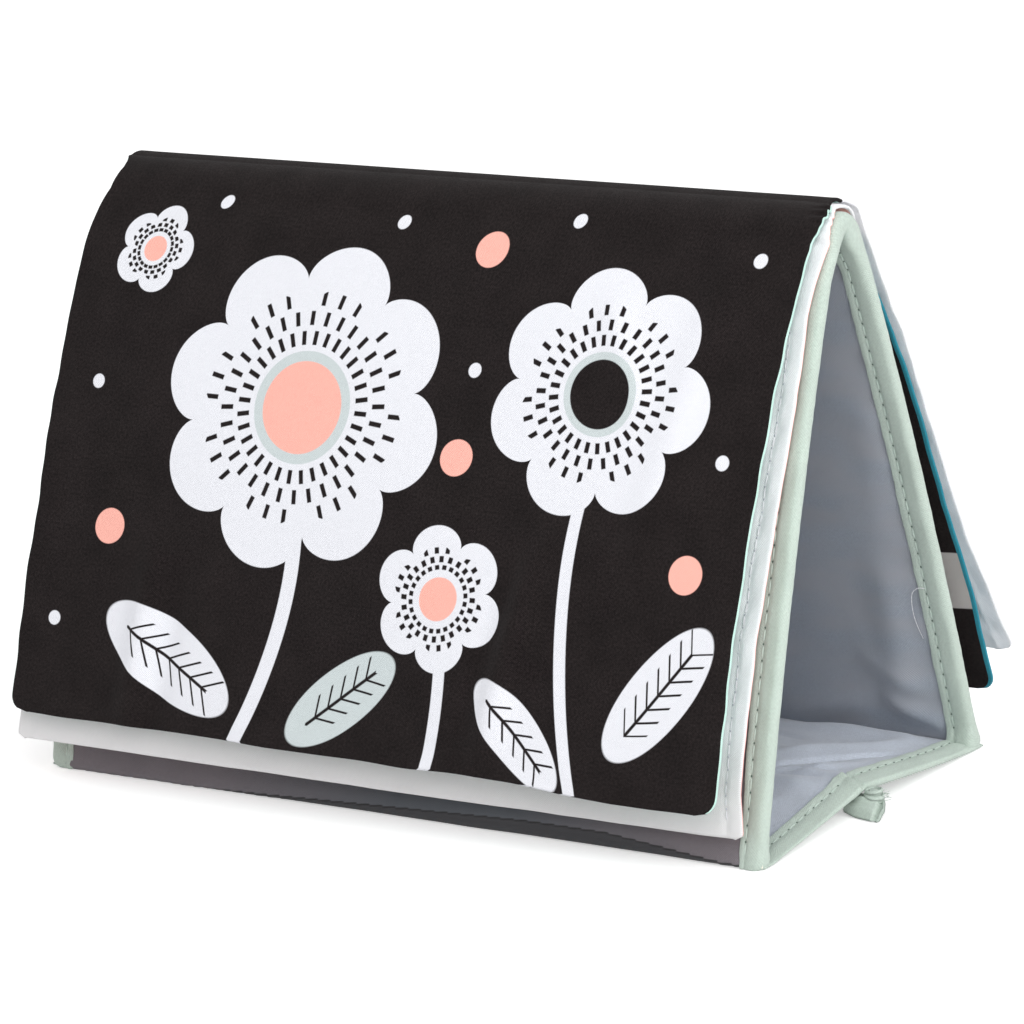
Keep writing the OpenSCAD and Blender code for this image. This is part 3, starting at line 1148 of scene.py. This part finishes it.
def make_lining():
    xs = ticks((SHEET_LEFT, SHEET_LEFT + 20, 1.6), (SHEET_LEFT + 20, 70, 2.6), (70, SHEET_RIGHT, 0.9))
    ss = ticks((2.5, 30, 1.1), (30, Tunnel.length - 70, 2.6), (Tunnel.length - 70, Tunnel.length - 2.5, 1.1))
    grids = sheet_grid(Tunnel, xs, ss, lining_height, flat_thickness(LINING_SKIN))
    piece = two_ply("cover_lining", *grids, [lining_nylon])
    declare(piece, at_ridge, LININGS, (SHEET_W, Tunnel.length))


# Bindings: cloth folded round the end of a panel and sewn down near both hems

BINDING_SKIN = 0.45
FLANGE = BINDING_W - np.array([0, 0.4, 0.9, 1.5, 2.0, 2.4, 2.8, 3.4, 4.2, 5.0, 5.8])
SEAM_COLUMN = 5


def binding_section(radius, end_share, round_steps=9):
    """A binding's section from hem to hem: distance in from the end, share of the height, and outward way.

    end_share is the height at the end as a share of the height at the hem.
    """
    flat = FLANGE[FLANGE > radius + 0.3]
    share = end_share + (1 - end_share) * ((flat - radius) / (BINDING_W - radius)) ** 0.8
    rows = [[a, b, 0, 1] for a, b in zip(flat, share)]
    for i in range(round_steps + 1):
        angle = math.pi / 2 - math.pi * i / round_steps
        cos, sin = math.cos(angle), math.sin(angle)
        rows.append([radius * (1 - cos), end_share * (1 + sin) / 2, -cos, sin])
    rows += [[a, 0, 0, -1] for a in flat[::-1]]
    return np.array(rows)


def binding_relief(a, s, side, seed):
    """How far a binding stands proud: soft over its width, drawn in along the seam."""
    seam = BINDING_W - STITCH_IN
    puff = 0.16 * np.sin(np.clip(a / seam, 0, 1) * math.pi) ** 0.8 + 0.12 * smooth(a, seam, seam + 1.2)
    tuck = -0.28 * hump(a, seam, 0.6)
    pucker = 0.07 * np.cos(2 * math.pi * s / STITCH_PITCH) * hump(a, seam, 2.0)
    slow = 0.16 * waves(a * 2, s + 40 * side, seed, 9, 40) * smooth(a, 0, 3)
    fine = 0.07 * waves(a * 1.5, s + 90 * side, seed + 5, 3, 8)
    return puff + tuck + pucker + slow + fine


def binding_shell(top, low, ss, sign, radius, end_share, relief, hem_move=0.0, end_inset=0.0):
    """Grids of a binding's outside and inside. top and low are its hems' lines, point by point."""
    section = binding_section(radius, end_share)
    a, b, way_a, way_b = (np.tile(column, (len(ss), 1)) for column in section.T)
    s = np.tile(ss[:, None], (1, len(section)))
    side = np.where(way_b < 0, 1.0, 0.0)
    high = (top - low)[:, None]
    up = unit(high)
    proud = relief(a, s, side)
    hem = smooth(a, BINDING_W - 3, BINDING_W)
    shells = []
    for depth in (0.0, BINDING_SKIN):
        out = (proud - depth)[..., None]
        yz = low[:, None] + high * b[..., None] + up * way_b[..., None] * out
        x = a + (proud - depth) * way_a + hem * hem_move + end_inset * (1 - smooth(a, 0, BINDING_W))
        x = sign * (abs(END_X[sign]) - x)
        shells.append(np.stack([x, yz[..., 0], np.maximum(yz[..., 1], 0.02)], -1))
    around = run_along(section[:, :2] * [1, 4])
    uv = np.stack([s, np.tile(around, (len(ss), 1))], -1)
    return shells[0], shells[1], uv


def binding_piece(name, shells, sign):
    outer, inner, uv = shells
    if sign < 0:
        outer, inner, uv = outer[::-1], inner[::-1], uv[::-1]
    return two_ply(name, outer, inner, uv, [binding_mint])


def seam_stitches(name, shells, ss, up, column, start, end, bending):
    """Stitches along one column of a binding's outside."""
    holes = np.arange(start, end, STITCH_PITCH)
    points = np.stack([np.interp(holes, ss, shells[0][:, column, k]) for k in range(3)], 1)
    normals = np.stack([0 * holes, np.interp(holes, ss, up[:, 0]), np.interp(holes, ss, up[:, 1])], 1)
    declare(stitches(name, points, normals, thread_mint, shade_green), bending)


def round_off(far, radius):
    """0 away from an end and 1 at it, as a quarter circle."""
    return 1 - np.sqrt(np.clip(1 - np.clip(1 - far / radius, 0, 1) ** 2, 0, 1))


# At a foot the binding's corner is rounded, its inner hem flares, and at the back it stands off the cover
FOOT_CORNER_R = 3.6
FOOT_INSET = {-1: 2.6, 1: 1.0}
FOOT_FLARE = 2.2
BACK_FOOT_OFF = 1.6
NARROW_HEM = 1.2


def make_cover_binding(sign, word):
    length = binding_line.length
    ss = ticks((0, 12, 0.6), (12, length / 2 - 20, 1.15), (length / 2 - 20, length / 2 + 20, 0.7),
               (length / 2 + 20, length - 12, 1.15), (length - 12, length, 0.6))
    far = np.minimum(ss, length - ss)
    foot = round_off(far, FOOT_CORNER_R)
    back_foot = BACK_FOOT_OFF * (1 - smooth(length - ss, 1, 10))
    top = np.stack(binding_line.at(ss, BINDING_T + back_foot - 0.3 * foot), 1)
    flare = FOOT_FLARE * (1 - smooth(far, 0, 10))
    low = np.stack(Tunnel.at(ss * Tunnel.length / length, -PANEL_T - BINDING_T - flare), 1)
    narrow = -NARROW_HEM * (1 - smooth(ss, 0, 60)) * (sign > 0)
    wander = 0.22 * ripple(ss, 73 + sign, 10, 50) + 0.15 * ripple(ss, 75 + sign, 4, 9)
    hem_move = (narrow + wander)[:, None]
    shells = binding_shell(top, low, ss, sign, (PANEL_T + 2 * BINDING_T) / 2, 1.0,
                           lambda a, s, side: binding_relief(a, s, side, 70 + sign),
                           hem_move, (FOOT_INSET[sign] * foot)[:, None])
    piece = binding_piece(f"cover_binding_{word}", shells, sign)
    nodes = (f"front_binding_{word}", f"back_binding_{word}")
    declare(piece, at_ridge, nodes, (2 * BINDING_W + PANEL_T, length))
    up = unit(top - low)
    inside_column = shells[0].shape[1] - 1 - SEAM_COLUMN
    seam_stitches(f"cover_stitches_{word}", shells, ss, up, SEAM_COLUMN, 3, length - 3, at_ridge)
    for half, start, end in (("front", 6, length / 2 - 8), ("back", length / 2 + 8, length - 6)):
        name = f"tunnel_stitches_{half}_{word}"
        seam_stitches(name, shells, ss, -up, inside_column, start, end, at_ridge)


# Base: it spans the feet and rises to a crease a little in front of its middle

BASE_T = CLOTH_T + WADDING_T + LINING_T
CREASE_Y = -4.5
INNER_FOOT = FOOT_Y - (PANEL_T + BINDING_T) / math.cos(LEAN - math.atan(4 * COVER_BOW / PANEL_LEN))


def base_rise(y):
    """Height of the base's underside: straight up to the crease, then a slack fall to the back foot."""
    near = np.clip((y + INNER_FOOT - 2) / (INNER_FOOT - 2 + CREASE_Y), 0, 1)
    far = np.clip(1 - (y - CREASE_Y) / (INNER_FOOT - 1 - CREASE_Y), 0, 1) ** 1.2
    return (CREASE_H + 0.5) * np.minimum(near, far)


BASE_PROFILE = (
    (-62, 1.2), (-55, 1.5), (-42, 1.8), (-8, 3.6), (0, 3.9), (19, 3.7), (38, 3.2), (54, 3.3), (60, 2.4),
    (64, 1.0),
)


def base_height(y):
    """Thickness of the base at its bindings' hems."""
    places, heights = zip(*BASE_PROFILE)
    return np.interp(y, places, heights)


class Base:
    """The base's underside, read by the distance across it from the front foot."""

    length = 2 * INNER_FOOT

    @staticmethod
    def at(s, offset=0.0):
        y = s - INNER_FOOT
        return y, base_rise(y) + offset


# Folds of the base's top cloth at its right end. The left end has the same ones.
BASE_FOLDS = (
    ((95, 1), (116, 37), 1.4, -3.0), ((88, 9), (110, 46), 4.5, 1.8), ((104, -3), (118, 24), 3.0, 1.5),
    ((118, CREASE_Y - 1), (84, CREASE_Y - 3), 1.6, -1.3), ((98, -4), (113, 2), 1.2, -1.6),
    ((112, -13), (78, -11), 3.2, 1.2), ((110, 50), (60, 47), 4.5, 1.8), ((108, -24), (84, -40), 3.6, 0.9),
    ((84, 16), (58, 26), 2.6, 1.2), ((94, -2), (66, 6), 1.6, -1.0), ((80, 34), (60, 40), 2.2, -0.9),
)


def base_top(x, s):
    """Height of the wrinkled top cloth over the base's underside."""
    y = s - INNER_FOOT
    from_end = end_distance(x)
    slack = smooth(from_end, 8, 20) * smooth(INNER_FOOT - np.abs(y), -4, 8)
    tucked = 1.1 * (1 - smooth(from_end, BINDING_W - 2.4, BINDING_W - 0.4))
    lift = base_height(y) - 0.4 - tucked + slack * (0.7 + 0.5 * waves(x, s, 91, 18, 60))
    lift += slack * (folds(x, y, BASE_FOLDS) + folds(-x, y, BASE_FOLDS))
    return np.maximum(lift, 0.75)


def base_under(x, s):
    """Height of the underside's cloth over the base's lower face."""
    return np.minimum(base_top(x, s) - 0.5, CLOTH_T)


def pad_top(x, s):
    return base_top(x, s) - 0.45


def wadding_depth(x, s):
    return np.maximum(pad_top(x, s) - base_under(x, s), 0.02)


def make_base():
    xs = ticks((SHEET_LEFT, SHEET_LEFT + 60, 1.5), (SHEET_LEFT + 60, 55, 2.8), (55, SHEET_RIGHT, 0.9))
    ss = ticks((0.4, Base.length - 0.4, 0.95))
    flat = (SHEET_W, Base.length)
    top = two_ply("base_top", *sheet_grid(Base, xs, ss, base_top, flat_thickness(0.4)), [base_nylon])
    declare(top, at_base, ["base_lining"], flat)
    coarse = (Base, xs[::2], ss[::2])
    under = two_ply("base_underside", *sheet_grid(*coarse, base_under, flat_thickness(0.2)), [cover_grey])
    declare(under, at_base, ["base_cloth"], flat)
    pad = two_ply("base_pad", *sheet_grid(*coarse, pad_top, wadding_depth), [wadding_white])
    declare(pad, at_base, ["base_wadding"])


def kink_relief(a, s, side, seed):
    """A base binding's relief, with one half tucked over the other at the crease."""
    y = s - FOOT_Y
    line = CREASE_Y + (a - BINDING_W / 2) * 0.5
    tuck = -0.75 * hump(y, line + 0.4, 0.75) + 0.55 * hump(y, line - 1.6, 1.5)
    return binding_relief(a, s, side, seed) * 0.8 + tuck * (1 - side)


def make_base_binding(sign, word):
    length = 2 * FOOT_Y + 1.0
    ss = ticks((1.5, 44, 1.0), (44, 72, 0.45), (72, length, 1.0))
    y = ss - FOOT_Y
    low = np.stack([y, base_rise(y) + 0.05], 1)
    top = np.stack([y, base_rise(y) + base_height(y) + 0.15 * ripple(y, 111 + sign, 6, 20)], 1)
    wander = 0.3 * ripple(ss, 113 + sign, 8, 40) + 0.9 * hump(y, CREASE_Y - 2.5, 2.0)
    shells = binding_shell(top, low, ss, sign, 0.9, 0.55,
                           lambda a, s, side: kink_relief(a, s, side, 117 + sign), wander[:, None])
    piece = binding_piece(f"base_end_binding_{word}", shells, sign)
    flat = (2 * BINDING_W + BASE_T, length)
    declare(piece, at_base, [f"base_binding_{word}"], flat)
    up = np.tile([0.0, 1.0], (len(ss), 1))
    for half, start, end in (("near", 6, FOOT_Y + CREASE_Y - 1), ("far", FOOT_Y + CREASE_Y + 3, length - 5)):
        seam_stitches(f"base_stitches_{half}_{word}", shells, ss, up, SEAM_COLUMN, start, end, at_base)


make_cover_cloth()
make_lining()
make_base()
for end_sign, end_word in ((-1, "left"), (1, "right")):
    make_cover_binding(end_sign, end_word)
    make_base_binding(end_sign, end_word)


# Ribbon tie under the crease at the right end

KNOT = np.array([HALF_W + 2.6, -4.8, 5.0])
TAIL_TOP = (np.array([HALF_W - 4.0, -3.0, 5.0]), np.array([HALF_W + 4.6, -2.6, 4.6]))
TAIL_END = (np.array([HALF_W - 5.0, -9.9, 1.9]), np.array([HALF_W + 7.4, -12.4, 0.6]))


TAIL_SIZE = (12, 11)


def knot_wrap(lift, turn, tilt, wide, thick, seed):
    """One turn of ribbon round the knot: a flattened ring with soft edges."""
    around, sides = 44, 12
    t = np.linspace(0, 2 * math.pi, around, endpoint=False)[:, None]
    p = np.linspace(0, 2 * math.pi, sides, endpoint=False)[None, :]
    ripple = 0.12 * waves(t * 4, p * 2, seed, 2, 6)
    reach = wide + (thick * 0.6 + ripple) * np.cos(p)
    x = reach * np.cos(t)
    y = reach * np.sin(t) * 0.85
    z = thick * np.sin(p) + tilt * wide * np.cos(t - turn) + lift
    points = np.stack([x, y, z], -1).reshape(-1, 3) + KNOT
    maps = np.stack([t * wide + 0 * p, 0 * t + p * thick], -1).reshape(-1, 2)
    return points, maps, [face[::-1] for face in ring_faces(around, sides, closed=True)], 0


def knot_core():
    """The body that the turns lie round."""
    heights = np.linspace(-2.4, 2.4, 12)
    radii = 2.3 * np.sqrt(np.clip(1 - (heights / 2.6) ** 2, 0.05, 1))
    points = KNOT + np.stack([0 * heights, 0 * heights, heights], 1)
    return (*tube_rings(points, radii, 18), 0)


def frayed_ends():
    """Short threads at the knot's right side."""
    rng = np.random.default_rng(5)
    parts = []
    for _ in range(9):
        start = KNOT + [2.1, 1.9, 0] + rng.uniform(-0.5, 0.5, 3) * [1, 1, 3.4]
        way = np.array([0.75, 0.75, 0]) + rng.uniform(-0.35, 0.35, 3)
        points = start + way * np.linspace(0, 1.5, 5)[:, None]
        points[:, 2] += rng.uniform(-0.4, 0.4) * np.linspace(0, 1, 5) ** 2
        parts.append((*tube_rings(points, np.full(5, 0.09), 5), 0))
    return parts


def make_knot():
    wraps = [
        knot_wrap(1.75, 0.4, 0.10, 2.35, 0.75, 1), knot_wrap(0.35, 2.6, 0.16, 2.6, 0.85, 2),
        knot_wrap(-1.15, 1.2, -0.12, 2.35, 0.8, 3), knot_wrap(-2.2, 0.2, 0.10, 1.8, 0.6, 4),
    ]
    return join_parts("ribbon_knot", [knot_core(), *wraps, *frayed_ends()], [binding_mint])


def make_tail():
    """The pleated tail: it comes from under the crease and ends in an open fold on the floor."""
    across, along = np.meshgrid(np.linspace(0, 1, 46), np.linspace(0, 1, 30))
    across, along = across[..., None], along[..., None]
    top = TAIL_TOP[0] * (1 - across) + TAIL_TOP[1] * across
    end = TAIL_END[0] * (1 - across) + TAIL_END[1] * across
    outer = top * (1 - along) + end * along
    face = unit(np.cross(TAIL_TOP[1] - TAIL_TOP[0], TAIL_END[1] - TAIL_TOP[1]))
    face *= -np.sign(face[1])
    pleat = 0.42 * np.sin(along * 17 + 2.5 * across) * (1 - 0.6 * across) * smooth(along, 0, 0.2)
    middle = np.sin(math.pi * np.clip(along, 0, 1)) ** 0.8
    belly = 1.9 * middle * np.sin(math.pi * (0.12 + 0.8 * across)) ** 0.7
    fold_end = 2.0 * hump(across, 0.9, 0.045) * smooth(along, 0.1, 0.4)
    outer = outer + face * (pleat + belly - fold_end)
    outer[..., 0] += 1.3 * (np.sin(math.pi * along) * across ** 3)[..., 0]
    outer[..., 2] -= 0.7 * (np.sin(math.pi * across) * along ** 3)[..., 0]
    inner = outer - face * (0.55 + 0.9 * smooth(across, 0.7, 1.0))
    outer[..., 2] = np.maximum(outer[..., 2], 0.15)
    inner[..., 2] = np.maximum(inner[..., 2], 0.05)
    uv = np.concatenate([across, along], -1) * TAIL_SIZE
    piece = two_ply("ribbon_tail", outer, inner, uv, [binding_mint], rim_bulge=-0.45)
    declare(piece, at_base, (), TAIL_SIZE)


declare(make_knot(), at_base, ["ribbon_tie"])
make_tail()


# A loose thread that stands off the back lining beside the binding

THREAD_PATH = (
    (119.0, 56.0, 0.6), (117.0, 56.6, 1.4), (114.8, 55.0, 1.8), (113.8, 51.0, 1.6), (113.4, 46.5, 1.3),
    (113.9, 42.0, 1.0), (114.8, 38.0, 0.7),
)


def make_loose_thread():
    """A thin white thread. Each point is x, distance from the back foot and height off the lining."""
    rough = np.array(THREAD_PATH)
    t = np.linspace(0, len(rough) - 1, 50)
    columns = [np.interp(t, np.arange(len(rough)), column) for column in rough.T]
    x, from_foot, off = (np.convolve(np.pad(c, 3, mode="edge"), np.ones(7) / 7, "valid") for c in columns)
    y, z = Tunnel.at(Tunnel.length - from_foot, -PANEL_T - off)
    points, maps, faces = tube_rings(np.stack([x, y, z], 1), np.full(len(x), 0.12), 7)
    piece = make_mesh("loose_thread", points, faces, maps, [thread_white])
    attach(piece, BACK)


make_loose_thread()


# The foam sheets stay as they are, with a foam finish of cells in relief and painted shade in their hollows


CELLS_PER_M = 1400.0
CELL_DEPTH = 0.0002


def dress_foam():
    shader = Shader("foam_sheet")
    spot = shader.field("TexCoord", output="Object")
    cells = shader.field("TexVoronoi", {"Vector": spot, "Scale": CELLS_PER_M}, "Distance")
    # Darker at the cells' middles, where the bump dips: painted shade in the foam's pores
    tone = shader.ramp(cells, 0.0, 0.8, 0.86, 1.04)
    shader.link(shader.darken(linear((240, 236, 222)), tone), "Base Color")
    shader.link(shader.cloud(spot, 0.01, 0.85, 0.95), "Roughness")
    shader.bump(cells, CELL_DEPTH)
    for name in FOAMS:
        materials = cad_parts[name].data.materials
        materials.clear()
        materials.append(shader.material)


dress_foam()


# Lights and floor

WORLD_GLOW = 0.76
FLOOR_GLOW = 0.42
FLOOR_REACH = 30
FLOOR_GAP = 0.0002
FLOOR_TONE = (0.86, 0.86, 0.86, 1)
WHITE_LIGHT = (1, 1, 1, 1)
LIT_SPOT = (0, 0, 80)


def area_light(name, azimuth, height, far, size, power):
    data = bpy.data.lights.new(name, "AREA")
    data.shape = "SQUARE"
    data.size = size
    data.energy = power
    light = add_object(name, data)
    way = direction(math.radians(azimuth), math.radians(height))
    light.location = Vector(place(LIT_SPOT)) + way * far
    light.rotation_euler = way.to_track_quat("Z", "Y").to_euler()


def make_world():
    """White to the camera, and a little dimmer as light."""
    world = bpy.data.worlds.new("studio")
    bpy.context.scene.world = world
    world.use_nodes = True
    nodes = Nodes(world.node_tree)
    path = nodes.node("LightPath").outputs
    rays = [Field(nodes, path[name]) for name in ("Is Camera Ray", "Is Transmission Ray")]
    seen = nodes.math("MAXIMUM", *rays)
    back = world.node_tree.nodes["Background"]
    back.inputs["Color"].default_value = WHITE_LIGHT
    world.node_tree.links.new(nodes.ramp(seen, 0.0, 1.0, WORLD_GLOW, 1.0).socket, back.inputs["Strength"])


def make_floor():
    mesh = bpy.data.meshes.new("floor")
    corners = [(FLOOR_REACH * x, FLOOR_REACH * y, 0) for x, y in ((-1, -1), (1, -1), (1, 1), (-1, 1))]
    mesh.from_pydata(corners, [], [(0, 1, 2, 3)])
    floor = add_object("floor", mesh)
    floor.location.z = -FLOOR_GAP
    shader = Shader("pale_floor")
    tone = shader.cloud(shader.field("TexCoord", output="Object"), 0.5, 0.99, 1.0)
    shader.link(shader.darken(FLOOR_TONE, tone), "Base Color")
    shader.put(Roughness=0.95, Specular_IOR_Level=0.1, Emission_Color=WHITE_LIGHT)
    seen = shader.field("LightPath", output="Is Camera Ray")
    shader.link(shader.ramp(seen, 0.0, 1.0, 0.0, FLOOR_GLOW), "Emission Strength")
    mesh.materials.append(shader.material)


# Each lamp is (name, azimuth, height, distance, size, power), with angles in degrees
for lamp in (
    ("key", 40, 36, 1.6, 1.2, 9.0),
    ("side", 80, 22, 1.5, 1.0, 7.5),
    ("top", 60, 75, 1.5, 1.2, 2.5),
):
    area_light(*lamp)
make_world()
make_floor()
bpy.context.scene.view_settings.view_transform = "Standard"
